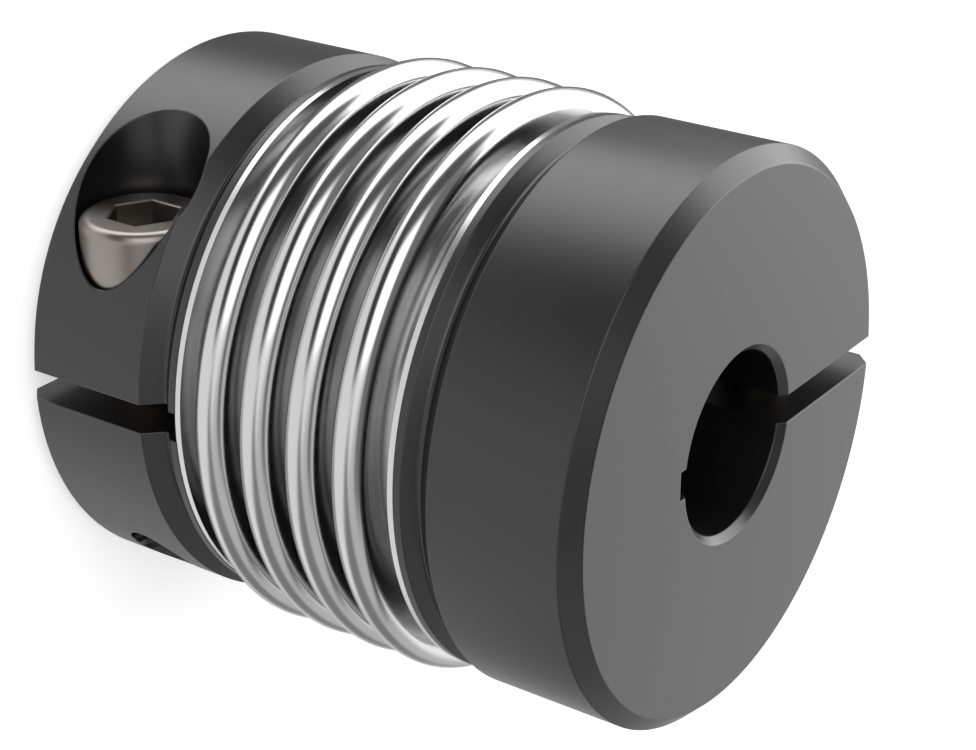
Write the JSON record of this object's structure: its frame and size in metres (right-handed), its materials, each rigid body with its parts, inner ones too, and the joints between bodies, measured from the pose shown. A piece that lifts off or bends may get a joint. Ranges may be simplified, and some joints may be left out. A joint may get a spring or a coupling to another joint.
{
  "type": "bellows coupling",
  "caption": "Torsionally stiff shaft coupling: a corrugated metal bellows joins two slit clamping hubs, each closed by a hexagon socket cap screw.",
  "frame": {"origin": "centre of the lower hub's end face, on the shaft axis, on the surface that the coupling stands on", "axes": "+Z along the shaft axis towards the upper hub; X in the plane of both clamping slits, with the upper hub's slit on +X and the lower hub's on -X; +Y towards both screw heads"},
  "size_m": [0.0748, 0.0748, 0.0822],
  "materials": {
    "hub": "satin black anodised",
    "bellows": "polished stainless steel",
    "screw": "satin nickel-plated steel"
  },
  "bodies": {
    "lower_half": {"lower_clamp_hub": "hub", "lower_clamp_screw": "screw", "bellows": "bellows"},
    "upper_half": {"upper_clamp_hub": "hub", "upper_clamp_screw": "screw"}
  },
  "joints": [
    {"name": "axial_flex", "type": "slide", "parent": "lower_half", "child": "upper_half", "axis": [0, 0, 1], "range_m": [-0.0005, 0.0005], "stiffness_N_per_m": 80000, "deforming": ["bellows"]}
  ]
}
